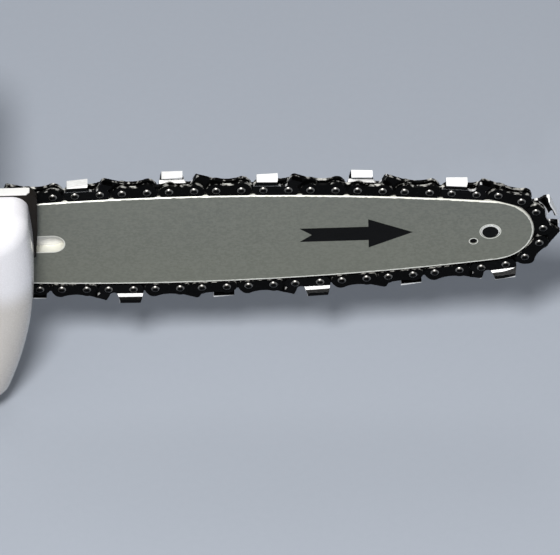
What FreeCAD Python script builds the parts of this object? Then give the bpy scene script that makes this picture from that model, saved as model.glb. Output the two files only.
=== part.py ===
"""Telescoping pole saw with an 8 inch bar: battery handle, two-tube pole and sawing head.

Frame: +X from the handle to the tip of the bar, +Z up, origin on the floor under the middle
of the tool. The pole's axis lies in the plane y = 0, and the bar's plane is y = y_bar, on the
tool's right side. The tool stands on its battery and on the four pads under its head.
"""
import FreeCAD, Part
import Sketcher
import math
import os
import re

V = FreeCAD.Vector

# ---------------------------------------------------------------- driving dimensions, in mm
DIMS = {
    # the main axes
    "x_face": 531, "y_bar": -24, "z_axis": 77, "drive_angle": 31,
    # bar
    "bar_thick": 4, "bar_half": 26, "belly_ahead": 60, "nose_ahead": 184.5, "nose_r": 17.7,
    "tail_behind": 56, "tail_start": 22, "tail_r": 80, "groove_wide": 1.5, "groove_deep": 6.4,
    "rail_edge": 0.5, "slot_wide": 9.4, "slot_ahead": 11.5, "slot_behind": 46, "hole_r": 4,
    "grease_r": 1.5, "grease_back": 6.9, "grease_low": 5.6, "pin_below": 13, "pin_behind": 36,
    "pin_r": 3, "stud_behind": 33, "stud_r": 4,
    # chain tension
    "screw_y": -13, "screw_r": 2.5, "screw_head_r": 4.5, "block_half": 5.5, "block_far": -8.5,
    # chain
    "rail_gap": 3.25, "strap_pitch": 10.14, "link_pitch": 8.91, "link_thick": 1.27, "strap_in": 0.7,
    "strap_out": 1.94, "strap_low": 2.9, "strap_end": 4.15, "rivet_r": 1.5, "head_r": 1.7,
    "rivet_out": 2.9, "links": 34, "first_cutter": 54.8, "plate_high": 7.3,
    "plate_out": 3.6, "tang_low": 8.2, "nose_teeth": 7, "drive_teeth": 6, "star_r": 14.4,
    "star_root": 9.4, "star_half": 3,
    # nose bearing
    "nose_tip": 19.3, "nose_root": 12.4, "nose_bore": 8, "nose_half": 0.65, "race_r": 6,
    "roller_r": 0.95, "rollers": 12,
    # sprocket cover
    "tray_in": 5.4, "tray_out": 8.5, "tray_top": 37.5, "tray_ahead": 1.7, "shell_out": 30.5,
    "shell_wall": 2.4, "shell_round": 13, "shell_top": 36.4, "shell_low": 70, "cover_long": 112,
    "front_bow": 215, "cover_back_low": 15, "cover_back_top": 2.8, "cover_low_round": 10,
    "cover_top_round": 7, "cover_rear_round": 16, "knob_r": 15, "knob_well": 17, "knob_seat": 20,
    "knob_out": 36, "knob_bore": 6.5,
    # head housing
    "head_front": 510, "head_back": 362, "neck_back": 300, "head_top": 113, "head_low": 6,
    "head_far": 60, "head_near": -20, "wall": 3, "corner": 14, "far_round": 6, "neck_r": 23,
    "foot_r": 8, "screw_shank": 2, "screw_cap": 3.4, "cap_high": 2.5, "neck_screw_far": 9,
    # drive train
    "spindle_r": 5, "bearing_r": 9, "gear_teeth": 46, "pinion_teeth": 10, "gear_module": 1,
    "gear_back": -2, "gear_front": -9, "plate_near": 1, "plate_far": 5, "motor_r": 18,
    "motor_near": 5.5, "motor_far": 48, "shaft_r": 2.5,
    # oil
    "cap_x": 388, "cap_y": 30, "cap_r": 13, "filler_r": 9,
    # pole
    "outer_r": 16, "inner_r": 14, "tube_wall": 1.5, "outer_back": -520, "outer_front": 272,
    "inner_back": -470, "inner_front": 344, "grip_back": -270, "grip_front": 30, "grip_r": 21,
    "collar_back": 232, "collar_front": 292, "collar_r": 21, "lever_y": 19, "lever_up": 27,
    # rear handle and battery
    "handle_half": 21, "grip_round": 4.5, "handle_round": 9, "handle_front": -470, "handle_back": -735,
    "handle_screw_far": 12, "dock_half": 36, "dock_low": 52, "dock_top": 59, "pack_front": -622,
    "pack_back": -741, "pack_half": 37, "pack_split": 38, "trigger_x": -562, "trigger_z": 113,
    "trigger_half": 5, "trigger_bore": 2,
}


def pitch_radius(teeth):
    """Radius of the rivets' circle where a chain of two alternating pitches wraps a sprocket."""
    half = math.pi / teeth
    long, short = DIMS["strap_pitch"], DIMS["link_pitch"]
    return math.sqrt(long**2 + short**2 + 2 * long * short * math.cos(half)) / (2 * math.sin(half))


# ---------------------------------------------------------------- the chain's closed track
# Plan coordinates here: u ahead of the cover's front edge, v above the pole's axis.
NOSE_TRACK = pitch_radius(DIMS["nose_teeth"])
DRIVE_TRACK = pitch_radius(DIMS["drive_teeth"])


def belly_radius(apex, nose):
    """Radius of the arc that is level at the belly, apex high, and touches the nose circle."""
    reach = DIMS["nose_ahead"] - DIMS["belly_ahead"]
    return (reach**2 + apex**2 - nose**2) / (2 * (apex - nose))


def upper_side(apex, nose, drive_u, drive_r):
    """Pieces of the track's upper half, from the sprocket to the nose: centre, radius, angles."""
    belly = belly_radius(apex, nose)
    centre = V(DIMS["belly_ahead"], apex - belly, 0)
    tail_angle = math.pi / 2 + math.asin((DIMS["belly_ahead"] + DIMS["tail_start"]) / belly)
    nose_angle = math.atan2(belly - apex, DIMS["nose_ahead"] - DIMS["belly_ahead"])
    tail_r = DIMS["tail_r"]
    out = V(math.cos(tail_angle), math.sin(tail_angle), 0)
    tail = centre + out * (belly - tail_r)
    drive = V(drive_u, 0, 0)
    between = tail - drive
    turn = math.atan2(between.y, between.x) + math.acos((drive_r - tail_r) / between.Length)
    return [("arc", drive, drive_r, math.pi, turn), ("line", drive, tail, drive_r, tail_r, turn),
            ("arc", tail, tail_r, turn, tail_angle), ("arc", centre, belly, tail_angle, nose_angle),
            ("arc", V(DIMS["nose_ahead"], 0, 0), nose, nose_angle, 0)]


def piece_length(piece):
    if piece[0] == "arc":
        return piece[2] * (piece[3] - piece[4])
    _, first, second, first_r, second_r, turn = piece
    out = V(math.cos(turn), math.sin(turn), 0)
    return (second + out * second_r - first - out * first_r).Length


def track_point(pieces, distance):
    """The point this far along the closed track, clockwise from behind the sprocket."""
    half = sum(piece_length(piece) for piece in pieces)
    distance = distance % (2 * half)
    if distance > half:
        point = track_point(pieces, 2 * half - distance)
        return V(point.x, -point.y, 0)
    for piece in pieces:
        length = piece_length(piece)
        if distance <= length:
            break
        distance -= length
    if piece[0] == "arc":
        angle = piece[3] - distance / piece[2]
        return piece[1] + V(math.cos(angle), math.sin(angle), 0) * piece[2]
    _, first, second, first_r, second_r, turn = piece
    out = V(math.cos(turn), math.sin(turn), 0)
    start = first + out * first_r
    return start + (second + out * second_r - start).normalize() * distance


def solve(function, low, high):
    """The root of a rising or falling function between two bounds."""
    rising = function(high) > function(low)
    for _ in range(50):
        middle = (low + high) / 2
        if (function(middle) > 0) == rising:
            high = middle
        else:
            low = middle
    return (low + high) / 2


def rivet_points(drive_u):
    """The rivets in order towards the nose, from the first cutter's rear one, and the misfit."""
    apex = DIMS["bar_half"] + DIMS["rail_gap"]
    pieces = upper_side(apex, NOSE_TRACK, drive_u, DRIVE_TRACK)
    half = sum(piece_length(piece) for piece in pieces)
    here = solve(lambda s: track_point(pieces, s).x - DIMS["first_cutter"], half * 0.2, half * 0.8)
    start = here
    points = []
    for _ in range(DIMS["links"]):
        for chord in (DIMS["strap_pitch"], DIMS["link_pitch"]):
            point = track_point(pieces, here)
            points.append(point)
            here = solve(lambda s: (track_point(pieces, s) - point).Length - chord,
                         here + chord * 0.9, here + chord * 1.3)
    return points, here - start - 2 * half


DRIVE_U = solve(lambda u: rivet_points(u)[1], -95, -62)
DIMS["x_drive"] = round(DIMS["x_face"] + DRIVE_U, 3)
RIVETS = rivet_points(DRIVE_U)[0]

# ---------------------------------------------------------------- document and helpers
doc = FreeCAD.newDocument("pole_saw")
sheet = doc.addObject("Spreadsheet::Sheet", "Dims")
for row, (alias, number) in enumerate(DIMS.items(), 1):
    sheet.set(f"A{row}", alias)
    sheet.set(f"B{row}", str(number))
    sheet.setAlias(f"B{row}", alias)
doc.recompute()

NODES = {}
ROLES = {"xy": "XY_Plane", "xz": "XZ_Plane", "yz": "YZ_Plane"}


def bound(expression):
    """The expression with each alias written as a cell of the sheet."""
    return re.sub(r"[a-z]\w*", lambda m: "Dims." + m.group() if m.group() in DIMS else m.group(),
                  str(expression))


def value(expression):
    return float(sheet.evalExpression(bound(expression)))


def node(name, thing):
    """Marks a finished sub-part: its label names its file."""
    thing.Label = name
    NODES[name] = thing
    return thing


def bind(thing, **sizes):
    for name, expression in sizes.items():
        thing.setExpression(name.replace("_", "."), bound(expression))
    return thing


def rod(axis, radius, low, high, first, second):
    """A cylinder along an axis, at the two other coordinates."""
    cylinder = doc.addObject("Part::Cylinder", "Rod")
    turns = {"x": FreeCAD.Rotation(V(0, 1, 0), 90), "y": FreeCAD.Rotation(V(1, 0, 0), -90),
             "z": FreeCAD.Rotation()}
    cylinder.Placement = FreeCAD.Placement(V(), turns[axis])
    base = {"x": (low, first, second), "y": (first, low, second), "z": (first, second, low)}[axis]
    bind(cylinder, Radius=radius, Height=f"{high} - ({low})", Placement_Base_x=base[0],
         Placement_Base_y=base[1], Placement_Base_z=base[2])
    return cylinder


def box(x_low, x_high, y_low, y_high, z_low, z_high):
    block = doc.addObject("Part::Box", "Block")
    bind(block, Length=f"{x_high} - ({x_low})", Width=f"{y_high} - ({y_low})",
         Height=f"{z_high} - ({z_low})", Placement_Base_x=x_low, Placement_Base_y=y_low,
         Placement_Base_z=z_low)
    return block


def fuse(*things):
    whole = doc.addObject("Part::MultiFuse", "Fuse")
    whole.Shapes = list(things)
    return whole


def cut(base, *tools):
    result = doc.addObject("Part::Cut", "Cut")
    result.Base = base
    result.Tool = fuse(*tools) if len(tools) > 1 else tools[0]
    return result


def ring(axis, radius, bore, low, high, first, second):
    return cut(rod(axis, radius, low, high, first, second), rod(axis, bore, low, high, first, second))


def group(*things):
    """Separate solids of one kind, kept in one sub-part."""
    whole = doc.addObject("Part::Compound", "Group")
    whole.Links = list(things)
    return whole


def feature(shape):
    plain = doc.addObject("Part::Feature", "Shape")
    plain.Shape = shape
    return plain


def new_body():
    return doc.addObject("PartDesign::Body", "Body")


def draw(body, plane, loops, offset):
    """A sketch on an origin plane. A loop is a circle (u, v, r), or corners (u, v) in
    counter-clockwise order, where a corner (u, v, r) starts an arc that bulges outwards."""
    sketch = body.newObject("Sketcher::SketchObject", "Sketch")
    origin = [item for item in body.Origin.OriginFeatures if item.Role == ROLES[plane]][0]
    sketch.AttachmentSupport = [(origin, "")]
    sketch.MapMode = "FlatFace"
    sketch.setExpression("AttachmentOffset.Base.z", bound(offset))
    for loop in loops:
        if isinstance(loop, tuple):
            place(sketch, sketch.addGeometry(Part.Circle(V(value(loop[0]), value(loop[1]), 0),
                                                         V(0, 0, 1), value(loop[2])), False), 3, loop)
            index = sketch.addConstraint(Sketcher.Constraint("Radius", sketch.GeometryCount - 1,
                                                             value(loop[2])))
            sketch.setExpression(f"Constraints[{index}]", bound(loop[2]))
            continue
        corners = [V(value(corner[0]), value(corner[1]), 0) for corner in loop]
        sides = []
        for number, corner in enumerate(loop):
            start, end = corners[number], corners[(number + 1) % len(loop)]
            if len(corner) == 3:
                radius = value(corner[2])
                half = (end - start) / 2
                outward = V(half.y, -half.x, 0).normalize()
                rise = radius - math.sqrt(max(radius**2 - half.Length**2, 0))
                side = Part.Arc(start, start + half + outward * rise, end)
            else:
                side = Part.LineSegment(start, end)
            sides.append(sketch.addGeometry(side, False))
        for number, corner in enumerate(loop):
            following = sides[(number + 1) % len(loop)]
            sketch.addConstraint(Sketcher.Constraint("Coincident", sides[number], 2, following, 1))
            place(sketch, sides[number], 1, corner)
            if len(corner) == 3:
                index = sketch.addConstraint(Sketcher.Constraint("Radius", sides[number],
                                                                 value(corner[2])))
                sketch.setExpression(f"Constraints[{index}]", bound(corner[2]))
    return sketch


def place(sketch, geometry, point, corner):
    """Binds one point of the sketch to two expressions."""
    for kind, expression in (("DistanceX", corner[0]), ("DistanceY", corner[1])):
        index = sketch.addConstraint(Sketcher.Constraint(kind, -1, 1, geometry, point,
                                                         value(expression)))
        sketch.setExpression(f"Constraints[{index}]", bound(expression))


def extrude(kind, body, plane, loops, low, high):
    """Pads or pockets the loops from low to high along the plane's axis."""
    sketch = draw(body, plane, loops, f"-({high})" if plane == "xz" else low)
    made = body.newObject("PartDesign::" + kind, kind)
    made.Profile = sketch
    made.setExpression("Length", bound(f"{high} - ({low})"))
    if kind == "Pocket":
        made.Reversed = True
    sketch.Visibility = False
    doc.recompute()
    return made


def pad(body, plane, loops, low, high):
    return extrude("Pad", body, plane, loops, low, high)


def pocket(body, plane, loops, low, high):
    before = body.Shape.Volume
    made = extrude("Pocket", body, plane, loops, low, high)
    if not body.Shape.Volume < before:
        raise ValueError("a pocket cuts nothing: " + body.Name)
    return made


def round_off(body, radius, chosen):
    """A fillet on the edges of the body for which chosen(edge) is true."""
    tip = body.Tip
    names = [f"Edge{number}" for number, edge in enumerate(tip.Shape.Edges, 1) if chosen(edge)]
    made = body.newObject("PartDesign::Fillet", "Fillet")
    made.Base = (tip, names)
    made.setExpression("Radius", bound(radius))
    doc.recompute()
    if "Invalid" in made.State:
        raise ValueError(f"a fillet of {radius} fails on {body.Name} with {len(names)} edges")
    return made


def along(axis):
    """Chooses straight edges parallel to an axis."""
    direction = {"x": V(1, 0, 0), "y": V(0, 1, 0), "z": V(0, 0, 1)}[axis]
    return lambda edge: (isinstance(edge.Curve, Part.Line)
                         and abs(abs(edge.Curve.Direction.dot(direction)) - 1) < 1e-6)


def level(axis, expression):
    """Chooses edges that lie wholly at one coordinate."""
    number = value(expression)
    index = "xyz".index(axis)

    def chosen(edge):
        limits = edge.BoundBox
        low = (limits.XMin, limits.YMin, limits.ZMin)[index]
        high = (limits.XMax, limits.YMax, limits.ZMax)[index]
        return abs(low - number) < 1e-3 and abs(high - number) < 1e-3
    return chosen


def upright_beyond(axis, expression):
    """Chooses straight edges along Y that lie past one coordinate."""
    number = value(expression)
    return lambda edge: along("y")(edge) and getattr(edge.BoundBox, axis.upper() + "Min") > number


def rectangle(u_low, u_high, v_low, v_high):
    return [(u_low, v_low), (u_high, v_low), (u_high, v_high), (u_low, v_high)]


def rounded(u_low, u_high, v_low, v_high, r):
    """A rectangle with quarter-circle corners."""
    return [(f"{u_low} + {r}", v_low), (f"{u_high} - {r}", v_low, r), (u_high, f"{v_low} + {r}"),
            (u_high, f"{v_high} - {r}", r), (f"{u_high} - {r}", v_high), (f"{u_low} + {r}", v_high, r),
            (u_low, f"{v_high} - {r}"), (u_low, f"{v_low} + {r}", r)]


def in_plane(u, v, y=0):
    """A point of the bar's plan, placed in the tool's frame."""
    return V(DIMS["x_face"] + u, y, DIMS["z_axis"] + v)


def slab(wire, y_low, y_high):
    """The solid between two distances across the bar's plane, from a plan wire at y = 0."""
    face = Part.Face(wire)
    face.translate(V(0, value(f"y_bar + ({y_low})"), 0))
    return face.extrude(V(0, value(f"({y_high}) - ({y_low})"), 0))


# ---------------------------------------------------------------- guide bar
def bar_wire(inset):
    """The bar's outline, moved in by inset: nose arc, belly arcs, tapered tail and flat end."""
    nose, apex = DIMS["nose_r"] - inset, DIMS["bar_half"] - inset
    belly = belly_radius(apex, nose)
    low_centre = V(DIMS["belly_ahead"], apex - belly, 0)
    nose_angle = math.atan2(belly - apex, DIMS["nose_ahead"] - DIMS["belly_ahead"])
    back_angle = math.pi / 2 + math.asin((DIMS["belly_ahead"] + DIMS["tail_start"] - 8) / belly)
    middle_angle = (nose_angle + back_angle) / 2

    def belly_point(angle, side):
        point = low_centre + V(math.cos(angle), math.sin(angle), 0) * belly
        return in_plane(point.x, point.y * side)

    tail = [in_plane(-DIMS["tail_behind"] + inset, side * (apex - 9)) for side in (1, -1)]
    upper = Part.Arc(belly_point(back_angle, 1), belly_point(middle_angle, 1),
                     belly_point(nose_angle, 1))
    tip = Part.Arc(belly_point(nose_angle, 1), in_plane(DIMS["nose_ahead"] + nose, 0),
                   belly_point(nose_angle, -1))
    lower = Part.Arc(belly_point(nose_angle, -1), belly_point(middle_angle, -1),
                     belly_point(back_angle, -1))
    back = [Part.LineSegment(belly_point(back_angle, -1), tail[1]), Part.LineSegment(tail[1], tail[0]),
            Part.LineSegment(tail[0], belly_point(back_angle, 1))]
    return Part.Wire([side.toShape() for side in (upper, tip, lower, *back)])


def across(u, v, radius, y_low, y_high):
    """A cylinder across the bar's plane, at a point of its plan."""
    length = value(f"({y_high}) - ({y_low})")
    base = in_plane(u, v, value(f"y_bar + ({y_low})"))
    return Part.makeCylinder(value(radius), length, base, V(0, 1, 0))


def guide_bar():
    half = "bar_thick / 2"
    plate = slab(bar_wire(0), "-" + half, half)
    rails = [edge for edge in plate.Edges if edge.BoundBox.YLength < 1e-6]
    plate = plate.makeChamfer(DIMS["rail_edge"], rails)
    groove = slab(bar_wire(-2), "-groove_wide / 2", "groove_wide / 2").cut(
        slab(bar_wire(DIMS["groove_deep"]), "-groove_wide / 2", "groove_wide / 2"))
    nose_u = DIMS["nose_ahead"]
    pocket_disc = across(nose_u, 0, "nose_tip + 0.4", "-groove_wide / 2", "groove_wide / 2")
    slot_r = DIMS["slot_wide"] / 2
    slot_low, slot_high = -DIMS["slot_behind"] + slot_r, DIMS["slot_ahead"] - slot_r
    slot = across(slot_low, 0, slot_r, "-5", "5").fuse(across(slot_high, 0, slot_r, "-5", "5"))
    corner = in_plane(slot_low, -slot_r, value("y_bar - 5"))
    slot = slot.fuse(Part.makeBox(slot_high - slot_low, 10, 2 * slot_r, corner))
    holes = [across(nose_u, 0, "hole_r", "-5", "5"),
             across(nose_u - DIMS["grease_back"], -DIMS["grease_low"], "grease_r", "-5", "0"),
             across(-DIMS["pin_behind"], -DIMS["pin_below"], "pin_r + 0.02", "-5", "5"),
             across(-DIMS["pin_behind"], DIMS["pin_below"], "grease_r", "-5", "5")]
    return feature(plate.cut([groove, pocket_disc, slot, *holes]).removeSplitter())


# ---------------------------------------------------------------- toothed wheels
def toothed(teeth, root, tip, root_share, tip_share, centre, y_low, y_high, turn=0):
    """A wheel of straight-flanked teeth; the shares are of the angle between two teeth."""
    step = 2 * math.pi / teeth
    corners = []
    for number in range(teeth):
        for radius, share in ((root, -root_share), (tip, -tip_share),
                              (tip, tip_share), (root, root_share)):
            angle = turn + step * (number + share / 2)
            corners.append(V(math.cos(angle) * radius, 0, math.sin(angle) * radius))
    face = Part.Face(Part.makePolygon([*corners, corners[0]]))
    wheel = face.extrude(V(0, y_high - y_low, 0))
    wheel.translate(centre + V(0, y_low, 0))
    return wheel


def wheel_with_bore(wheel, bore, centre, y_low, y_high):
    base = V(centre.x, y_low - 1, centre.z)
    return feature(wheel.cut(Part.makeCylinder(bore, y_high - y_low + 2, base, V(0, 1, 0))))


def chain_turn(centre_u, teeth):
    """The angle of the first gap between teeth: where a drive link's tang hangs."""
    near = min(range(1, len(RIVETS), 2), key=lambda k: (
        abs((RIVETS[k] - V(centre_u, 0, 0)).Length - pitch_radius(teeth))))
    middle = (RIVETS[near] + RIVETS[(near + 1) % len(RIVETS)]) / 2 - V(centre_u, 0, 0)
    return math.atan2(middle.y, middle.x) + math.pi / teeth


# ---------------------------------------------------------------- chain
def link_frame(shape, first, second, lateral=0):
    """Moves a link drawn along +X from its rear rivet into place, right side outwards."""
    along_chain = second - first
    angle = math.degrees(math.atan2(along_chain.y, along_chain.x))
    moved = shape.copy()
    moved.rotate(V(), V(0, -1, 0), angle)
    moved.translate(in_plane(first.x, first.y, DIMS["y_bar"] + lateral))
    return moved


def plan_face(path):
    """A face at y = 0 from (s, up) corners; a corner (s, up, s, up) passes an arc's middle."""
    edges = []
    for number, corner in enumerate(path):
        after = path[(number + 1) % len(path)]
        start, end = V(corner[0], 0, corner[1]), V(after[0], 0, after[1])
        if len(corner) == 4:
            edges.append(Part.Arc(start, V(corner[2], 0, corner[3]), end).toShape())
        else:
            edges.append(Part.makeLine(start, end))
    return Part.Face(Part.Wire(edges))


def between(face, y_low, y_high, holes):
    solid = face.extrude(V(0, y_high - y_low, 0))
    solid.translate(V(0, y_low, 0))
    drills = [Part.makeCylinder(DIMS["rivet_r"] + 0.04, 20, V(s, -10, 0), V(0, 1, 0)) for s in holes]
    return solid.cut(drills)


def strap(y_low, y_high, rear, front):
    """A side strap: flat foot on the rail, round ends, and a waist between a rear and a front hump."""
    end, low, pitch = DIMS["strap_end"], -DIMS["strap_low"], DIMS["strap_pitch"]
    corner = end * 0.72
    waist = min(rear, front) * 0.8
    face = plan_face([(-corner, low), (pitch + corner, low, pitch + end, -0.6),
                      (pitch + corner, front * 0.7, pitch + corner * 0.5, front),
                      (pitch - 1.2, front - 0.4, pitch / 2, waist),
                      (1.6, rear - 0.5, -0.4, rear), (-corner, rear * 0.6, -end, -0.6)])
    return between(face, y_low, y_high, (0, pitch))


def cutter():
    """A right-hand cutter: side plate, bent top plate with a hooked edge, gullet, ramped depth gauge."""
    end, low, pitch = DIMS["strap_end"], -DIMS["strap_low"], DIMS["strap_pitch"]
    high, corner = DIMS["plate_high"], DIMS["strap_end"] * 0.72
    foot = [(-corner, low), (pitch + corner, low, pitch + end, -0.4), (13.5, 2.2)]
    gauge = [(15.6, 4.7, 13.5, 5.4), (11.8, high - 1.2, 11.3, high - 0.9), (10.8, high - 1.3)]
    gullet = [(10.1, 4.6), (9.7, 3.4, 7.9, 1.9), (6.2, 3.3, 5.5, 4.9)]
    blade = [(5.7, high), (-2.8, high - 0.7), (-3.3, 4.6), (-4, 2.2, -end, -0.4)]
    side = plan_face(foot + gauge + gullet + blade)
    inner, outer, out = DIMS["strap_in"], DIMS["strap_out"], DIMS["plate_out"]
    section = [V(0, -inner, low), V(0, -outer, low), V(0, -outer, 2.4), V(0, -out, 4.6),
               V(0, -out, high - 0.9), V(0, -out + 0.9, high + 0.1), V(0, 0.7, high + 0.1),
               V(0, 0.7, high - 1.1), V(0, -1.7, high - 1.3), V(0, -2.4, high - 1.9),
               V(0, -2.4, 4.6), V(0, -inner, 2.2)]
    angle = Part.Face(Part.makePolygon([*section, section[0]]))
    angle.translate(V(-6, 0, 0))
    angle = angle.extrude(V(24, 0, 0))
    plate_side = between(side, -out - 1, 2, (0, pitch)).common(angle)
    gauge_side = between(side, -outer, -inner, (0, pitch))
    gauge_room = Part.makeBox(12, 10, 14, V(7.9, -5, low - 1))
    hook = Part.makeBox(3, 9, 3, V(5.7, -6, high - 2))
    hook.rotate(V(5.7, -out, high), V(0, 0, 1), -30)
    return plate_side.cut([gauge_room, hook]).fuse(gauge_side.common(gauge_room)).removeSplitter()


def drive_link(ramp):
    """A drive link with a pointed tang; a ramped one has a hump just behind the next strap."""
    pitch, end, tang = DIMS["link_pitch"], 3.3, -DIMS["tang_low"]
    half = DIMS["link_thick"] / 2
    lower = [(-end, 0, -2.6, -2.4), (-1.2, -3.1), (1.2, tang + 1.2, 2.2, tang), (4.2, tang + 0.3),
             (7.6, -4.4), (pitch + 1, -3.1, pitch + 2.6, -2.4)]
    if ramp:
        upper = [(pitch + end, 0.4), (pitch + 2.4, 3.7), (2.9, 7.1, 2.2, 7.3), (1.2, 6.8), (-0.8, 3)]
    else:
        upper = [(pitch + end, 0, pitch + 2.4, 2.3), (pitch, end, pitch / 2, 2.2), (0, end, -2.4, 2.3)]
    return between(plan_face(lower + upper), -half, half, (0, pitch))


def rivet():
    """A rivet with a domed head proud of the straps on each side."""
    inner, radius = DIMS["strap_out"], DIMS["head_r"]
    rise = DIMS["rivet_out"] - inner
    ball = (radius**2 + rise**2) / (2 * rise)
    shaft = Part.makeCylinder(DIMS["rivet_r"], 2 * inner, V(0, -inner, 0), V(0, 1, 0))
    for side in (1, -1):
        head = Part.makeCylinder(radius, rise, V(0, side * inner, 0), V(0, side, 0))
        dome = Part.makeSphere(ball, V(0, side * (inner + rise - ball), 0))
        shaft = shaft.fuse(head.common(dome))
    return shaft


def mirrored(shape):
    return shape.mirror(V(), V(0, 1, 0))


def right_hand(unit):
    """Cutters alternate sides, apart from one pair where the odd chain closes."""
    return unit % 2 == 1 if unit <= 10 else unit % 2 == 0


def make_chain():
    inner, outer = DIMS["strap_in"], DIMS["strap_out"]
    tie, opposite = strap(inner, outer, 3.8, 4.3), strap(inner, outer, 3.7, 3.6)
    right, bumper, plain, pin = cutter(), drive_link(True), drive_link(False), rivet()
    parts = {"drive_links": [], "cutters_right": [], "cutters_left": [], "tie_straps": [], "rivets": []}
    count = len(RIVETS)
    for unit in range(count // 4):
        first, second, third, fourth, after = [RIVETS[(4 * unit + k) % count] for k in range(5)]
        if right_hand(unit):
            parts["cutters_right"].append(link_frame(right, first, second))
            parts["tie_straps"].append(link_frame(opposite, first, second))
        else:
            parts["cutters_left"].append(link_frame(mirrored(right), first, second))
            parts["tie_straps"].append(link_frame(mirrored(opposite), first, second))
        for strap_solid in (tie, mirrored(tie)):
            parts["tie_straps"].append(link_frame(strap_solid, third, fourth))
        parts["drive_links"].append(link_frame(bumper, second, third))
        parts["drive_links"].append(link_frame(plain, fourth, after))
        for point in (first, second, third, fourth):
            parts["rivets"].append(link_frame(pin, point, point + V(1, 0, 0)))
    for name, solids in parts.items():
        node("chain_" + name, feature(Part.makeCompound(solids)))


# ---------------------------------------------------------------- bar, nose and drive
node("guide_bar", guide_bar())
make_chain()

NOSE = in_plane(DIMS["nose_ahead"], 0)
NOSE_LOW, NOSE_HIGH = DIMS["y_bar"] - DIMS["nose_half"], DIMS["y_bar"] + DIMS["nose_half"]
nose_wheel = toothed(DIMS["nose_teeth"], DIMS["nose_root"], DIMS["nose_tip"], 0.62, 0.16, NOSE,
                     NOSE_LOW, NOSE_HIGH, chain_turn(DIMS["nose_ahead"], DIMS["nose_teeth"]))
node("nose_sprocket", wheel_with_bore(nose_wheel, DIMS["nose_bore"], NOSE, NOSE_LOW, NOSE_HIGH))
node("nose_bearing_race", ring("y", "race_r", "hole_r", "y_bar - 0.7", "y_bar + 0.7",
                               "x_face + nose_ahead", "z_axis"))
rollers = []
for number in range(DIMS["rollers"]):
    turn = 360 * number / DIMS["rollers"]
    reach = "(race_r + nose_bore) / 2"
    roller_x = f"x_face + nose_ahead + {reach} * cos({turn})"
    roller_z = f"z_axis + {reach} * sin({turn})"
    rollers.append(rod("y", "roller_r", "y_bar - 0.6", "y_bar + 0.6", roller_x, roller_z))
node("nose_bearing_rollers", group(*rollers))

DRIVE = in_plane(DRIVE_U, 0)
STAR_LOW, STAR_HIGH = DIMS["y_bar"] - DIMS["star_half"], DIMS["y_bar"] + DIMS["star_half"]
star = toothed(DIMS["drive_teeth"], DIMS["star_root"], DIMS["star_r"], 0.6, 0.16, DRIVE,
               STAR_LOW, STAR_HIGH, chain_turn(DRIVE_U, DIMS["drive_teeth"]))
node("drive_sprocket", wheel_with_bore(star, DIMS["spindle_r"], DRIVE, STAR_LOW, STAR_HIGH))
node("drive_spindle", rod("y", "spindle_r", "y_bar - 4.6", "plate_far", "x_drive", "z_axis"))
node("spindle_bearings", group(
    ring("y", "bearing_r", "spindle_r + 0.03", "head_near", "head_near + 6", "x_drive", "z_axis"),
    ring("y", "bearing_r", "spindle_r + 0.03", "plate_near", "plate_far", "x_drive", "z_axis")))

GEAR_R = DIMS["gear_module"] * DIMS["gear_teeth"] / 2
PINION_R = DIMS["gear_module"] * DIMS["pinion_teeth"] / 2
LEAN = math.radians(DIMS["drive_angle"])
MOTOR = DRIVE + V(math.cos(LEAN), 0, math.sin(LEAN)) * (GEAR_R + PINION_R)
MOTOR_X = "x_drive + gear_module * (gear_teeth + pinion_teeth) / 2 * cos(drive_angle)"
MOTOR_Z = "z_axis + gear_module * (gear_teeth + pinion_teeth) / 2 * sin(drive_angle)"
GEAR_LOW, GEAR_HIGH = DIMS["gear_front"], DIMS["gear_back"]
gear = toothed(DIMS["gear_teeth"], GEAR_R - 1.25, GEAR_R + 0.8, 0.5, 0.2, DRIVE,
               GEAR_LOW, GEAR_HIGH, LEAN)
node("output_gear", wheel_with_bore(gear, DIMS["spindle_r"], DRIVE, GEAR_LOW, GEAR_HIGH))
pinion = toothed(DIMS["pinion_teeth"], PINION_R - 1.25, PINION_R + 0.8, 0.5, 0.16, MOTOR,
                 GEAR_LOW, GEAR_HIGH, LEAN + math.pi / DIMS["pinion_teeth"])
node("motor_pinion", wheel_with_bore(pinion, DIMS["shaft_r"], MOTOR, GEAR_LOW, GEAR_HIGH))
MOTOR_AXIS = (MOTOR_X, MOTOR_Z)
node("motor_shaft", rod("y", "shaft_r", "gear_front - 1", "head_far - wall - 0.5", *MOTOR_AXIS))
can = rod("y", "motor_r", "motor_near", "motor_far", *MOTOR_AXIS)
node("motor_can", cut(can, rod("y", "motor_r - 1.5", "motor_near + 2", "motor_far", *MOTOR_AXIS),
                      rod("y", "shaft_r + 0.5", "motor_near", "motor_far", *MOTOR_AXIS)))
node("motor_end_cap", ring("y", "motor_r", "shaft_r + 0.5", "motor_far", "motor_far + 5", *MOTOR_AXIS))
node("motor_rotor", ring("y", "motor_r - 2.3", "shaft_r", "motor_near + 3.5", "motor_far - 2",
                         *MOTOR_AXIS))
node("cooling_fan", wheel_with_bore(
    toothed(11, 5, 15, 0.7, 0.3, MOTOR, DIMS["motor_far"] + 5.4, DIMS["motor_far"] + 8.2),
    DIMS["shaft_r"], MOTOR, DIMS["motor_far"] + 5, DIMS["motor_far"] + 9))
plate = new_body()
PLATE = rectangle("head_back + 60", "head_front - wall - 0.3", "z_axis - 26", "head_top - wall - 0.3")
pad(plate, "xz", [PLATE, ("x_drive", "z_axis", "bearing_r"), (*MOTOR_AXIS, "shaft_r + 3")],
    "plate_near", "plate_far")
round_off(plate, "corner - wall", upright_beyond("x", "head_front - 6"))
node("gearcase_plate", plate)

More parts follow.
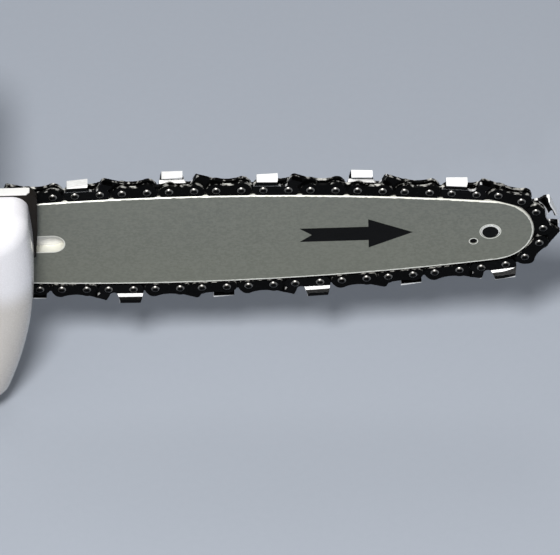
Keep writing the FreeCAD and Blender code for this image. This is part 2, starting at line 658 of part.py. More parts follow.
# ---------------------------------------------------------------- bar mount and chain tension
STUD = ("x_face - stud_behind", "z_axis")
node("bar_stud", fuse(rod("y", "stud_r", "y_bar - knob_out + 5", "head_near + wall + 3", *STUD),
                      rod("y", "stud_r + 3", "head_near + wall", "head_near + wall + 3", *STUD)))
SCREW = ("screw_y", "z_axis - pin_below")
PIN_WINDOW = rectangle("x_face - pin_behind - pin_r - 4.6", "x_face - pin_behind + pin_r + 0.6",
                       "z_axis - pin_below - pin_r - 0.4", "z_axis - pin_below + pin_r + 0.4")
bar_pad = new_body()
pad(bar_pad, "xz", [rectangle("x_face - 50", "x_face + 15", "z_axis - 19", "z_axis + 13"),
                    (*STUD, "stud_r + 0.1")], "y_bar + bar_thick / 2 + 0.1", "head_near")
pocket(bar_pad, "xz", [PIN_WINDOW], "y_bar + bar_thick / 2", "head_near")
round_off(bar_pad, 6, upright_beyond("x", "x_face + 14"))
node("bar_pad", bar_pad)
node("tension_screw", fuse(
    rod("x", "screw_r", "x_face - pin_behind - 17", "head_front + 1", *SCREW),
    rod("x", "screw_head_r", "head_front + 0.4", "head_front + 3.6", *SCREW)))
block = box("x_face - pin_behind - block_half", "x_face - pin_behind + block_half",
            "head_near + wall + 0.4", "block_far", "z_axis - pin_below - 5", "z_axis - pin_below + 5")
pin = rod("y", "pin_r", "y_bar - bar_thick / 2", "head_near + wall + 1",
          "x_face - pin_behind", "z_axis - pin_below")
node("tension_block", cut(fuse(block, pin), rod("x", "screw_r + 0.05", "x_face - 60", "x_face", *SCREW)))

# ---------------------------------------------------------------- head housing
HEAD = rectangle("head_back", "head_front", "head_low", "head_top")
HEAD_ROOM = rounded("head_back + wall", "head_front - wall", "head_low + wall", "head_top - wall",
                    "(corner - wall)")


def head_half(low, high, room_low, room_high, neck, facing):
    """One half of the head's clamshell, with its half of the neck and the pole's bore."""
    half = new_body()
    pad(half, "xz", [HEAD], low, high)
    round_off(half, "corner", along("y"))
    if facing:
        round_off(half, "far_round", level("y", facing))
    pad(half, "yz", [neck], "neck_back", "head_back + wall")
    pocket(half, "xz", [HEAD_ROOM], room_low, room_high)
    pocket(half, "yz", [(0, "z_axis", "inner_r")], "neck_back - 1", "head_back + wall + 1")
    return half


right_neck = [(0, "z_axis + neck_r", "neck_r"), ("-neck_r", "z_axis", "neck_r"), (0, "z_axis - neck_r")]
left_neck = [(0, "z_axis - neck_r", "neck_r"), ("neck_r", "z_axis", "neck_r"), (0, "z_axis + neck_r")]
right = head_half("head_near", 0, "head_near + wall", 0, right_neck, None)
pad(right, "xz", [("x_drive", "z_axis", "bearing_r + 3")], "head_near + wall", "head_near + 6")
pocket(right, "xz", [("x_drive", "z_axis", "bearing_r")], "head_near", "head_near + 6")
pocket(right, "xz", [(*STUD, "stud_r")], "head_near", "head_near + wall")
pocket(right, "xz", [PIN_WINDOW], "head_near", "head_near + wall")
pocket(right, "yz", [(*SCREW, "screw_r + 0.05")], "head_front - wall", "head_front")
left = head_half(0, "head_far", 0, "head_far - wall", left_neck, "head_far")
pocket(left, "xy", [("cap_x", "cap_y", "filler_r + 0.2")], "head_top - wall - 1", "head_top")
for slot in range(6):
    low = f"z_axis - 12 + {slot * 7}"
    pocket(left, "xz", [rectangle("x_drive + 4", "x_drive + 42", low, low + " + 3")],
           "head_far - wall - 1", "head_far")
NECK_SCREWS = [(x, f"z_axis + {side} * (neck_r + inner_r) / 2")
               for x in ("neck_back + 11", "head_back - 11") for side in (1, -1)]
drills = [rod("y", "screw_shank", -10, "neck_screw_far + 3", *spot) for spot in NECK_SCREWS]
sinks = [box(f"{x} - 4", f"{x} + 4", "neck_screw_far", "neck_r + 1", f"{z} - 4.5", f"{z} + 5.5")
         for x, z in NECK_SCREWS]
node("head_housing_right", cut(right, *drills))
node("head_housing_left", cut(left, *drills, *sinks))


def screws(near, far, spots):
    """Cap screws along Y, one at each spot, with their heads on the far side."""
    made = []
    for spot in spots:
        shank = rod("y", "screw_shank", near, far, *spot)
        made.append(fuse(shank, rod("y", "screw_cap", far, f"{far} + cap_high", *spot)))
    return group(*made)


node("neck_screws", screws(-9, "neck_screw_far", NECK_SCREWS))
node("head_feet", group(*[rod("z", "foot_r", 0, "head_low", x, y)
                          for x in ("head_back + 26", "head_front - 26") for y in (-8, 42)]))

# ---------------------------------------------------------------- chain oil
tank = fuse(box("head_back + 12", "head_back + 80", 4, "head_far - wall - 3", "head_low + wall + 4", 46),
            rod("z", "filler_r", 44, "head_top", "cap_x", "cap_y"))
inside = box("head_back + 14", "head_back + 78", 6, "head_far - wall - 5", "head_low + wall + 6", 44)
node("oil_tank", cut(tank, inside, rod("z", "filler_r - 2", 40, "head_top + 1", "cap_x", "cap_y")))
cap = new_body()
pad(cap, "xy", [("cap_x", "cap_y", "filler_r - 2.1")], "head_top - 8", "head_top + 1")
pad(cap, "xy", [("cap_x", "cap_y", "cap_r")], "head_top + 0.3", "head_top + 10")
round_off(cap, 2, level("z", "head_top + 10"))
flutes = [rod("z", 1.6, "head_top + 0.3", "head_top + 10", f"cap_x + (cap_r + 0.7) * cos({k * 30})",
              f"cap_y + (cap_r + 0.7) * sin({k * 30})") for k in range(12)]
node("oil_cap", cut(cap, *flutes))
pump = fuse(box("head_front - 24", "head_front - 8", -16, -2, 24, 46),
            rod("z", 3, 46, 52, "head_front - 16", -9))
node("oil_pump", pump)

# ---------------------------------------------------------------- sprocket cover
TOP, LOW = "z_axis + shell_top", "z_axis - shell_low"
tray = new_body()
pad(tray, "xz", [[("x_face - cover_long", "z_axis - 30"), ("x_face - 40", "z_axis - 52"),
                  ("x_face - 20", "z_axis - 46"), ("x_face - 12", "z_axis - 10"),
                  ("x_face + tray_ahead - 1.6", "z_axis"), ("x_face + tray_ahead - 0.5", "z_axis + 16"),
                  ("x_face + tray_ahead", "z_axis + tray_top"),
                  ("x_face - cover_long", "z_axis + tray_top")],
                 (*STUD, "stud_r + 0.4")], "y_bar - tray_out", "y_bar - tray_in")
round_off(tray, 4, upright_beyond("z", "z_axis + 30"))
node("sprocket_cover_tray", tray)


def cover_outline(inset):
    """The shell's plan: a bowed front edge, a straight top and a raised tail."""
    back = f"x_face - cover_long + {inset}"
    return [(back, f"z_axis - 34 + {inset}"), ("x_face - 58", f"{LOW} + {inset}"),
            (f"x_face - cover_back_low - {inset}", f"{LOW} + {inset}", f"front_bow - {inset}"),
            (f"x_face - cover_back_top - {inset}", f"{TOP} - {inset}"), (back, f"{TOP} - {inset}")]


def cover_block(inset):
    """The shell's outer form, or the room inside it, moved in by inset."""
    block = new_body()
    pad(block, "xz", [cover_outline(inset)], f"y_bar - shell_out + {inset}", "y_bar - tray_out")
    upright = along("y")
    front, rear = value("x_face - 20"), value("x_face - 100")
    high, low = value("z_axis + 20"), value(LOW) + 9
    round_off(block, f"cover_low_round - {inset}",
              lambda edge: upright(edge) and edge.BoundBox.ZMin < low)
    round_off(block, f"cover_top_round - {inset}",
              lambda edge: upright(edge) and edge.BoundBox.ZMin > high and edge.BoundBox.XMin > front)
    round_off(block, f"cover_rear_round - {inset}",
              lambda edge: upright(edge) and edge.BoundBox.XMin < rear)
    round_off(block, f"shell_round - {inset}", level("y", f"y_bar - shell_out + {inset}"))
    return block


SEAT = "y_bar - knob_seat"
shell = cut(cover_block(0), cover_block(DIMS["shell_wall"]))
cup = rod("y", "knob_well + shell_wall", "y_bar - shell_out + 0.5", SEAT + " + shell_wall", *STUD)
well = rod("y", "knob_well", "y_bar - shell_out - 1", SEAT, *STUD)
stud_hole = rod("y", "stud_r + 0.4", "y_bar - shell_out", "y_bar - tray_out", *STUD)
node("sprocket_cover_shell", cut(fuse(shell, cup), well, stud_hole))
knob = new_body()
pad(knob, "xz", [(*STUD, "knob_r")], "y_bar - knob_out", SEAT + " - 0.4")
pocket(knob, "xz", [(*STUD, "knob_bore")], SEAT + " - 8", SEAT + " - 0.4")
pocket(knob, "xz", [(*STUD, "stud_r + 0.4")], "y_bar - knob_out + 3", SEAT + " - 8")
round_off(knob, 3, level("y", "y_bar - knob_out"))
flutes = [rod("y", 2.4, "y_bar - knob_out - 1", SEAT, f"{STUD[0]} + (knob_r + 1) * cos({k * 36})",
              f"{STUD[1]} + (knob_r + 1) * sin({k * 36})") for k in range(10)]
node("cover_knob", cut(knob, *flutes))
node("knob_nut", ring("y", "knob_bore", "stud_r + 0.05", SEAT + " - 8", SEAT + " - 0.4", *STUD))

# ---------------------------------------------------------------- pole
AXIS = (0, "z_axis")
node("upper_pole", ring("x", "inner_r", "inner_r - tube_wall", "inner_back", "inner_front", *AXIS))
node("pole_slider", ring("x", "outer_r - tube_wall - 0.06", "inner_r",
                         "inner_back", "inner_back + 30", *AXIS))
node("lower_pole", ring("x", "outer_r", "outer_r - tube_wall", "outer_back", "outer_front", *AXIS))
node("pole_bushing", ring("x", "outer_r + 1", "inner_r + 0.05",
                          "outer_front", "collar_front - 2", *AXIS))
node("foam_grip", ring("x", "grip_r", "outer_r", "grip_back", "grip_front", *AXIS))
BOLT_Z = "z_axis + lever_up"
collar = fuse(rod("x", "collar_r", "collar_back", "collar_front", *AXIS),
              box("collar_back + 8", "collar_front - 8", -12, 12, "z_axis + 14", "z_axis + 34"))
collar = cut(collar, rod("x", "outer_r", "collar_back", "outer_front", *AXIS),
             rod("x", "outer_r + 1", "outer_front", "collar_front - 2", *AXIS),
             rod("x", "inner_r + 0.5", "collar_front - 3", "collar_front", *AXIS),
             box("collar_back", "collar_front", -1.5, 1.5, "z_axis + 14", "z_axis + 35"),
             rod("y", 3, -13, 13, "collar_back + 30", BOLT_Z))
node("clamp_collar", collar)
PIN = ("lever_y", BOLT_Z)
node("clamp_bolt", fuse(rod("y", 3, -12, "lever_y - 3", "collar_back + 30", BOLT_Z),
                        rod("y", 5, -15.5, -12, "collar_back + 30", BOLT_Z),
                        ring("x", 4.5, 2.2, "collar_back + 26.4", "collar_back + 33.6", *PIN)))
node("lever_pin", rod("x", 2.2, "collar_back + 14", "collar_back + 46", *PIN))
lobes = []
for low, high in ((14.5, 26), (34, 45.5)):
    low, high = f"collar_back + {low}", f"collar_back + {high}"
    lobes.append(rod("x", 5.5, low, high, *PIN))
    lobes.append(box(low, high, 21.6, 25.6, "z_axis + 8", "z_axis + 29"))
blade = new_body()
BLADE = rectangle("collar_back + 14.5", "collar_back + 45.5", "z_axis - 24", "z_axis + 20")
pad(blade, "xz", [BLADE], 21.6, 26.6)
round_off(blade, 6, lambda edge: along("y")(edge) and edge.BoundBox.ZMin < value("z_axis"))
round_off(blade, 1.5, level("y", 26.6))
eye = rod("x", 2.25, "collar_back + 14", "collar_back + 46", *PIN)
node("clamp_lever", cut(fuse(blade, *lobes), eye))

# ---------------------------------------------------------------- rear handle
# corners (x, z) of the handle's side view, of the loop for the hand, and of the room inside
SHELL = [("handle_back", 60), (-560, 59), ("handle_front", 53), ("handle_front", 101), (-540, 118),
         (-600, 134), (-713, 134), ("handle_back", 121)]
HAND_HOLE = [(-712, 70), (-588, 70), (-573, 84), (-576, 104), (-712, 104)]
ROOM = [(-569, 63), (-523, 63), (-523, 110.2), (-541, 114.6), (-601, 131), (-712, 131),
        (-731, 119), (-731, 107), (-569, 107)]
BUTTON = (-538, 94)
HANDLE_SCREWS = [(-724, 90), (-660, 65), (-595, 64.5), (-486, 57)]


def handle_half(side):
    """One half of the rear handle: a closed loop round the hand hole, hollow along the grip."""
    edges = {1: (0, "handle_half"), -1: ("-handle_half", 0)}[side]
    inside = {1: (0, "handle_half - wall"), -1: ("wall - handle_half", 0)}[side]
    slit = {1: (0, 5.6), -1: (-5.6, 0)}[side]
    half = new_body()
    pad(half, "xz", [SHELL, HAND_HOLE], *edges)
    flank = level("y", f"{side} * handle_half")
    round_off(half, "handle_round", lambda edge: along("y")(edge) and not 56 < edge.BoundBox.ZMin < 62)
    round_off(half, "grip_round", lambda edge: flank(edge) and edge.BoundBox.ZMax > 62)
    pocket(half, "xz", [ROOM], *inside)
    pocket(half, "xz", [rectangle(-616, -568.6, 95, 108)], *slit)
    pocket(half, "yz", [(0, "z_axis", "outer_r")], -524, "handle_front")
    if side > 0:
        pocket(half, "xz", [(*BUTTON, 6.15)], "handle_half - wall - 1", "handle_half")
    tools = [rod("y", "screw_shank", -14, 14, *spot) for spot in HANDLE_SCREWS]
    if side > 0:
        tools += [rod("y", "screw_cap + 0.2", "handle_screw_far", 24, *spot) for spot in HANDLE_SCREWS]
    tools.append(rod("y", "trigger_bore", -19, 19, "trigger_x", "trigger_z"))
    return cut(half, *tools)


node("handle_right", handle_half(-1))
node("handle_left", handle_half(1))
node("handle_screws", screws(-13, "handle_screw_far", HANDLE_SCREWS))
overmold = new_body()
pad(overmold, "xz", [rectangle(-702, -612, 118, 136)], "-handle_half - 1.6", "handle_half + 1.6")
round_off(overmold, "grip_round + 1.6", lambda edge: along("x")(edge) and edge.BoundBox.ZMin > 130)
core = new_body()
pad(core, "xz", [rectangle(-703, -611, 117, 134)], "-handle_half", "handle_half")
round_off(core, "grip_round", lambda edge: along("x")(edge) and edge.BoundBox.ZMin > 130)
node("grip_overmold", cut(overmold, core))

PIVOT = ("trigger_x", "trigger_z")
blade = new_body()
pad(blade, "xz", [[(-610, 97), (-596, 93), (-584, 97), (-577, 106), ("trigger_x + 5", "trigger_z - 5"),
                   ("trigger_x + 5", "trigger_z + 5"), (-580, "trigger_z + 2"), (-612, 111.5)]],
    "-trigger_half", "trigger_half")
near_side, far_side = level("y", "-trigger_half"), level("y", "trigger_half")
round_off(blade, 1.6, lambda edge: along("y")(edge) and edge.BoundBox.ZMin < 112)
round_off(blade, 1.2, lambda edge: (near_side(edge) or far_side(edge)) and edge.BoundBox.ZMax < 111)
node("trigger", cut(blade, rod("y", "trigger_bore + 0.05", -6, 6, *PIVOT)))
node("trigger_pin", rod("y", "trigger_bore", -19, 19, *PIVOT))
node("trigger_spring", group(*[ring("y", 3.6, 2.4, 6 + 1.3 * k, 7.2 + 1.3 * k, *PIVOT)
                               for k in range(4)]))
node("power_switch", box(-600, -578, -6, 6, 121.5, 124))
button = fuse(rod("y", 6, "handle_half - 8", "handle_half + 3.6", *BUTTON),
              rod("y", 8, "handle_half - 11.5", "handle_half - 8", *BUTTON))
node("lock_off_button", button)
node("control_board", box(-566, -527, -14, -12.4, 66, 108))

# ---------------------------------------------------------------- battery
dock = new_body()
pad(dock, "xy", [rectangle("handle_back", -600, "-dock_half", "dock_half")], "dock_low", "dock_top")
round_off(dock, 6, along("z"))
rail = fuse(box("handle_back + 10", -640, -6, 6, "dock_low - 5", "dock_low"),
            box("handle_back + 10", -640, -12, 12, "dock_low - 8.5", "dock_low - 5"))
node("battery_dock", fuse(dock, rail))
PACK = rectangle("pack_back", "pack_front", "-pack_half", "pack_half")
tub = new_body()
pad(tub, "xy", [PACK], 0, "pack_split")
round_off(tub, 8, along("z"))
round_off(tub, 3, level("z", 0))
TUB_ROOM = rectangle("pack_back + 3", "pack_front - 3", "3 - pack_half", "pack_half - 3")
pocket(tub, "xy", [TUB_ROOM], 3, "pack_split")
node("battery_tub", tub)
lid = new_body()
pad(lid, "xy", [PACK], "pack_split", "dock_low - 0.3")
round_off(lid, 8, along("z"))
slide = [box("handle_back + 9.6", "pack_front", -6.3, 6.3, "dock_low - 5.2", "dock_low"),
         box("handle_back + 9.6", "pack_front", -12.3, 12.3, "dock_low - 8.8", "dock_low - 4.7")]
latch_room = box("pack_back", "pack_back + 10", -12.2, 12.2, "pack_split + 1.8", "dock_low - 1.8")
node("battery_lid", cut(lid, *slide, latch_room))
latch = new_body()
pad(latch, "yz", [rectangle(-12, 12, "pack_split + 2", "dock_low - 2")],
    "pack_back - 3", "pack_back + 6")
round_off(latch, 1, level("x", "pack_back - 3"))
node("battery_latch", latch)
node("battery_cells", group(*[rod("y", 9.2, -32.5, 32.5, f"pack_back + 14.5 + {k * 22.5}", 20)
                              for k in range(5)]))


# ---------------------------------------------------------------- checks and files
def check_document():
    doc.recompute()
    for thing in doc.Objects:
        if "Invalid" in thing.State or "Error" in thing.State:
            raise ValueError(f"{thing.Label} failed: {thing.State}")
    for name, thing in NODES.items():
        if thing.Shape.isNull() or not thing.Shape.isValid() or not thing.Shape.Solids:
            raise ValueError(name + " has no valid shape")


def write_parts():
    os.makedirs("parts", exist_ok=True)
    for name, thing in NODES.items():
        thing.Shape.exportStep(f"parts/{name}.step")


check_document()
write_parts()
print(len(NODES), "sub-parts written")
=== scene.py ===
"""The looks of the telescoping pole saw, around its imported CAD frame. Lengths are in metres."""
import math
import bmesh
import bpy
from mathutils import Matrix, Vector


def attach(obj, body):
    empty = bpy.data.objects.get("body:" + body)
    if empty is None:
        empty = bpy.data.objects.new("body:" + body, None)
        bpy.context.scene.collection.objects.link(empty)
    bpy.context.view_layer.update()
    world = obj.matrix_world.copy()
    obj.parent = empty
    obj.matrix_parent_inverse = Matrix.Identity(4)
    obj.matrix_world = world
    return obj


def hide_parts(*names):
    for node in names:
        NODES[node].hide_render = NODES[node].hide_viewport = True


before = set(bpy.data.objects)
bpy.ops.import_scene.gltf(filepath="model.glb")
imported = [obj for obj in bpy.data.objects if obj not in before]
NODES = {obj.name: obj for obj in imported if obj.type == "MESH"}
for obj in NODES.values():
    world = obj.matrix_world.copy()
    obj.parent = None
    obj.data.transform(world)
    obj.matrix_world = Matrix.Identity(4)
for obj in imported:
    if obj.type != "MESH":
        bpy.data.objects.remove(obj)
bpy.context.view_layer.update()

MM = 0.001

# the cover's front edge, the bar's middle plane and the pole's axis
FACE_X, BAR_Y, AXIS_Z = 0.531, -0.024, 0.077
BAR_SKIN = 0.002
SLEEVE_BACK, SLEEVE_LENGTH, SLEEVE_BORE = -0.27, 0.3, 0.01605
BATTERY_SIDE, LAMP_Z = -0.037, 0.024

# the bar's outline in mm, ahead of the cover's front edge and above the pole's axis
BAR_HALF, BELLY_AHEAD, NOSE_AHEAD, NOSE_R = 26.0, 60.0, 184.5, 17.7
BELLY_R = ((NOSE_AHEAD - BELLY_AHEAD) ** 2 + BAR_HALF**2 - NOSE_R**2) / (2 * (BAR_HALF - NOSE_R))
NOSE_START = NOSE_AHEAD + NOSE_R * (NOSE_AHEAD - BELLY_AHEAD) / (BELLY_R - NOSE_R)
GREASE = (NOSE_AHEAD - 6.9, -5.6)
SLOT_HALF, SLOT_AHEAD, HUB_R, GREASE_R = 4.7, 11.5, 4.0, 1.5

# values that several finishes share
GLOSS_SPREAD = 0.08
BLACKENED = (0.0003, 0.002)
FINE_RELIEF = 0.00003


# ---------------------------------------------------------------- materials
class Net:
    """A new material's node tree, with a short way to add each kind of node."""

    def __init__(self, name):
        self.material = bpy.data.materials.new(name)
        self.material.use_nodes = True
        self.nodes = self.material.node_tree.nodes
        self.links = self.material.node_tree.links
        self.shader = self.nodes["Principled BSDF"]
        coordinates = self.nodes.new("ShaderNodeTexCoord")
        self.place = coordinates.outputs["Object"]
        facing = self.nodes.new("ShaderNodeSeparateXYZ")
        self.links.new(coordinates.outputs["Normal"], facing.inputs[0])
        self.normal_y = facing.outputs[1]
        apart = self.nodes.new("ShaderNodeSeparateXYZ")
        self.links.new(self.place, apart.inputs[0])
        self.x, self.y, self.z = apart.outputs

    def feed(self, socket, value):
        if isinstance(value, bpy.types.NodeSocket):
            self.links.new(value, socket)
        elif isinstance(value, tuple):
            socket.default_value = (*value, 1)
        else:
            socket.default_value = value

    def math(self, operation, *values):
        made = self.nodes.new("ShaderNodeMath")
        made.operation = operation
        for socket, value in zip(made.inputs, values):
            self.feed(socket, value)
        return made.outputs[0]

    def smooth(self, value, low, high):
        """Rises from 0 to 1 as the value goes from low to high."""
        made = self.nodes.new("ShaderNodeMapRange")
        made.interpolation_type = "SMOOTHSTEP"
        self.feed(made.inputs["Value"], value)
        made.inputs["From Min"].default_value = low
        made.inputs["From Max"].default_value = high
        return made.outputs["Result"]

    def mix(self, share, first, second):
        """A colour between two; plain numbers are greys."""
        made = self.nodes.new("ShaderNodeMix")
        made.data_type = "RGBA"
        self.feed(made.inputs["Factor"], share)
        for socket, value in (("A", first), ("B", second)):
            plain = isinstance(value, (int, float))
            ends = [item for item in made.inputs if item.name == socket and item.type == "RGBA"]
            self.feed(ends[0], (value, value, value) if plain else value)
        return [item for item in made.outputs if item.type == "RGBA"][0]

    def noise(self, scale, stretch=(1, 1, 1), detail=4.0):
        mapping = self.nodes.new("ShaderNodeMapping")
        mapping.inputs["Scale"].default_value = stretch
        self.links.new(self.place, mapping.inputs["Vector"])
        texture = self.nodes.new("ShaderNodeTexNoise")
        texture.inputs["Scale"].default_value = scale
        texture.inputs["Detail"].default_value = detail
        self.links.new(mapping.outputs["Vector"], texture.inputs["Vector"])
        return texture.outputs["Fac"]

    def distance(self, u, v):
        """Distance in mm from a point of the bar's plan."""
        along = self.math("SUBTRACT", self.ahead(), u)
        up = self.math("SUBTRACT", self.above(), v)
        squares = self.math("ADD", self.math("MULTIPLY", along, along), self.math("MULTIPLY", up, up))
        return self.math("SQRT", squares)

    def ahead(self):
        """Millimetres ahead of the cover's front edge."""
        return self.math("MULTIPLY", self.math("SUBTRACT", self.x, FACE_X), 1000)

    def above(self):
        """Millimetres above the pole's axis."""
        return self.math("MULTIPLY", self.math("SUBTRACT", self.z, AXIS_Z), 1000)

    def ring(self, distance, radius):
        """1 on a narrow ring round a hole, 0 elsewhere and on the hole's own wall."""
        wall, full, end = radius + 0.05, radius + 0.3, radius + 0.5
        outside = self.math("GREATER_THAN", distance, wall)
        return self.math("MULTIPLY", self.smooth(distance, end, full), outside)

    def beyond_bar(self):
        """Distance in mm outside the bar's outline, negative inside it."""
        along = self.math("SUBTRACT", self.ahead(), BELLY_AHEAD)
        up = self.math("ADD", self.math("ABSOLUTE", self.above()), BELLY_R - BAR_HALF)
        squares = self.math("ADD", self.math("MULTIPLY", along, along), self.math("MULTIPLY", up, up))
        belly = self.math("SUBTRACT", self.math("SQRT", squares), BELLY_R)
        nose = self.math("SUBTRACT", self.distance(NOSE_AHEAD, 0), NOSE_R)
        at_nose = self.math("GREATER_THAN", self.ahead(), NOSE_START)
        step = self.math("MULTIPLY", at_nose, self.math("SUBTRACT", nose, belly))
        return self.math("ADD", belly, step)

    def relief(self, height, strength, depth):
        bump = self.nodes.new("ShaderNodeBump")
        bump.inputs["Strength"].default_value = strength
        bump.inputs["Distance"].default_value = depth
        self.links.new(height, bump.inputs["Height"])
        self.links.new(bump.outputs["Normal"], self.shader.inputs["Normal"])

    def finish(self, colour, roughness, metallic=0.0):
        self.feed(self.shader.inputs["Base Color"], colour)
        self.feed(self.shader.inputs["Roughness"], roughness)
        self.feed(self.shader.inputs["Metallic"], metallic)
        return self.material


def shade(colour, factor):
    return tuple(min(channel * factor, 1.0) for channel in colour)


def surface(name, colour, roughness, metallic=0.0, spread=0.12, spot=60.0, grain=900.0, bump=0.1,
            depth=0.00005, stretch=(1, 1, 1), coat=0.0, shine=0.5, seam=0.0, painted_light_fade=None):
    """A finish whose colour varies slowly and whose gloss and relief have a fine grain.

    seam is the half width of a dark line at y = 0. painted_light_fade is (low z, high z, colour at the
    top): painted light, the colour turning to the top colour between the two heights.
    """
    net = Net(name)
    net.shader.inputs["Coat Weight"].default_value = coat
    net.shader.inputs["Specular IOR Level"].default_value = shine
    slow = net.smooth(net.noise(spot, stretch), 0.3, 0.7)
    fine = net.noise(grain, stretch, 6.0)
    tint = net.mix(slow, shade(colour, 1 - spread), shade(colour, 1 + spread))
    if painted_light_fade:
        low, high, painted_top_light_colour = painted_light_fade
        # painted light: between the two heights the colour turns to the top colour
        tint = net.mix(net.smooth(net.z, low, high), tint, painted_top_light_colour)
    if seam:
        in_seam = net.smooth(net.math("ABSOLUTE", net.y), seam, seam * 0.6)
        tint = net.mix(in_seam, tint, shade(colour, 0.2))
    smoother, rougher = max(roughness - GLOSS_SPREAD, 0.02), min(roughness + GLOSS_SPREAD, 1.0)
    gloss = net.mix(net.smooth(fine, 0.3, 0.7), smoother, rougher)
    net.relief(fine, bump, depth)
    return net.finish(tint, gloss, metallic)


def bar_enamel():
    """Matt grey-green enamel with a fine speckle, worn bright along the rails and round the holes, the
    rail band widened towards the bottom as a painted highlight.
    """
    dark_enamel, light_enamel = (0.119, 0.126, 0.109), (0.138, 0.145, 0.121)
    low_enamel, fleck, bare_and_highlight_steel = (0.154, 0.159, 0.119), (0.216, 0.221, 0.188), (0.86, 0.85, 0.76)
    net = Net("bar_grey_enamel")
    cloud = net.smooth(net.noise(18, (0.4, 1, 1)), 0.3, 0.7)
    speckle = net.smooth(net.noise(1100, (0.7, 1, 1), 6.0), 0.35, 0.65)
    lower = net.smooth(net.above(), 22, -22)
    body = net.mix(cloud, dark_enamel, light_enamel)
    body = net.mix(net.math("MULTIPLY", lower, 0.45), body, low_enamel)
    body = net.mix(net.math("MULTIPLY", speckle, 0.38), body, fleck)
    wear = net.math("MULTIPLY", net.math("SUBTRACT", net.noise(500), 0.5), 0.7)
    # painted highlight: towards the bottom the bright rail band reaches up to 0.6 mm further onto the
    # face
    reach_with_painted_highlight = net.math("ADD", net.beyond_bar(), net.math("MULTIPLY", lower, 0.6))
    rail_wear_and_painted_highlight = net.smooth(net.math("ADD", reach_with_painted_highlight, wear), -0.6, -0.35)
    hub = net.ring(net.distance(NOSE_AHEAD, 0), HUB_R)
    grease = net.ring(net.distance(*GREASE), GREASE_R)
    past_end = net.math("MAXIMUM", net.math("SUBTRACT", net.ahead(), SLOT_AHEAD - SLOT_HALF), 0)
    up = net.above()
    squares = net.math("ADD", net.math("MULTIPLY", past_end, past_end), net.math("MULTIPLY", up, up))
    in_slot = net.smooth(net.math("SQRT", squares), SLOT_HALF + 0.5, SLOT_HALF + 0.25)
    bare_and_painted_highlight = net.math("MAXIMUM", net.math("MAXIMUM", rail_wear_and_painted_highlight, in_slot), net.math("MAXIMUM", hub, grease))
    colour = net.mix(bare_and_painted_highlight, body, bare_and_highlight_steel)
    roughness = net.mix(bare_and_painted_highlight, net.mix(speckle, 0.5, 0.66), 0.36)
    net.relief(net.noise(2600), 0.1, 0.00004)
    return net.finish(colour, roughness, net.math("MULTIPLY", bare_and_painted_highlight, 0.35))


def cutter_steel():
    """Blackened side plates, with bright plating on the top plates, and a painted highlight in the
    plating colour on the bends and edges 5.3 to 6.9 mm beyond the bar.
    """
    highlight_band_start, highlight_band_end, plate_start = 5.3, 6.9, 9.7
    plating_low, plating_high = (0.82, 0.81, 0.78), (0.95, 0.94, 0.92)
    net = Net("cutter_steel")
    net.shader.inputs["Specular IOR Level"].default_value = 0.06
    grain = net.smooth(net.noise(1800, (0.3, 1, 1), 6.0), 0.3, 0.7)
    beyond = net.beyond_bar()
    highlight_facing = net.smooth(net.math("ABSOLUTE", net.normal_y), 0.92, 0.88)
    above_start = net.smooth(beyond, highlight_band_start, highlight_band_start + 0.5)
    below_end = net.smooth(beyond, highlight_band_end, highlight_band_end - 0.3)
    # painted highlight: faces that don't face sideways, 5.3 to 6.9 mm beyond the bar, get the bright
    # plating colour
    edge = net.math("MULTIPLY", highlight_facing, net.math("MULTIPLY", above_start, below_end))
    plating_and_painted_highlight = net.math("MAXIMUM", net.smooth(beyond, plate_start, plate_start + 0.25), edge)
    colour = net.mix(plating_and_painted_highlight, net.mix(grain, *BLACKENED), net.mix(grain, plating_low, plating_high))
    roughness = net.mix(plating_and_painted_highlight, net.mix(grain, 0.15, 0.22), 0.34)
    net.relief(grain, 0.1, FINE_RELIEF)
    return net.finish(colour, roughness, net.math("MULTIPLY", plating_and_painted_highlight, 0.55))


def link_steel():
    """Blackened links and straps whose edges carry a painted highlight in patches."""
    net = Net("blackened_chain_steel")
    net.shader.inputs["Specular IOR Level"].default_value = 0.04
    grain = net.smooth(net.noise(3600), 0.3, 0.7)
    edge = net.smooth(net.math("ABSOLUTE", net.normal_y), 0.6, 0.3)
    # painted highlight: edges that don't face sideways are made bright steel in noisy patches
    painted_edge_highlight = net.math("MULTIPLY", edge, net.smooth(net.noise(420), 0.5, 0.64))
    edge_highlight_colour = (0.5, 0.49, 0.45)
    colour = net.mix(painted_edge_highlight, net.mix(grain, *BLACKENED), edge_highlight_colour)
    net.relief(grain, 0.1, FINE_RELIEF)
    return net.finish(colour, net.mix(grain, 0.26, 0.36), net.math("MULTIPLY", painted_edge_highlight, 0.5))


def rivet_steel():
    """Rivet domes with dark, oily crowns and flanks painted brighter as a painted highlight."""
    flank_highlight_low, flank_highlight_high = (0.26, 0.25, 0.23), (0.36, 0.35, 0.33)
    net = Net("oiled_rivet_steel")
    grain = net.smooth(net.noise(2400), 0.3, 0.7)
    # painted highlight: the dome's sloping flanks are made brighter steel than the crown
    painted_flank_highlight = net.smooth(net.math("ABSOLUTE", net.normal_y), 0.85, 0.65)
    colour = net.mix(painted_flank_highlight, net.mix(grain, 0.003, 0.01), net.mix(grain, flank_highlight_low, flank_highlight_high))
    net.relief(grain, 0.05, FINE_RELIEF)
    return net.finish(colour, net.mix(grain, 0.36, 0.42), 1.0)


def dress(material, *names):
    """Puts a material in the CAD nodes' slots."""
    for name in names:
        thing = NODES[name]
        thing.data.materials.clear()
        thing.data.materials.append(material)


white = surface("white_gloss_plastic", (0.78, 0.78, 0.80), 0.2, spread=0.015, grain=2500, bump=0.02,
                coat=0.4, seam=0.00035)
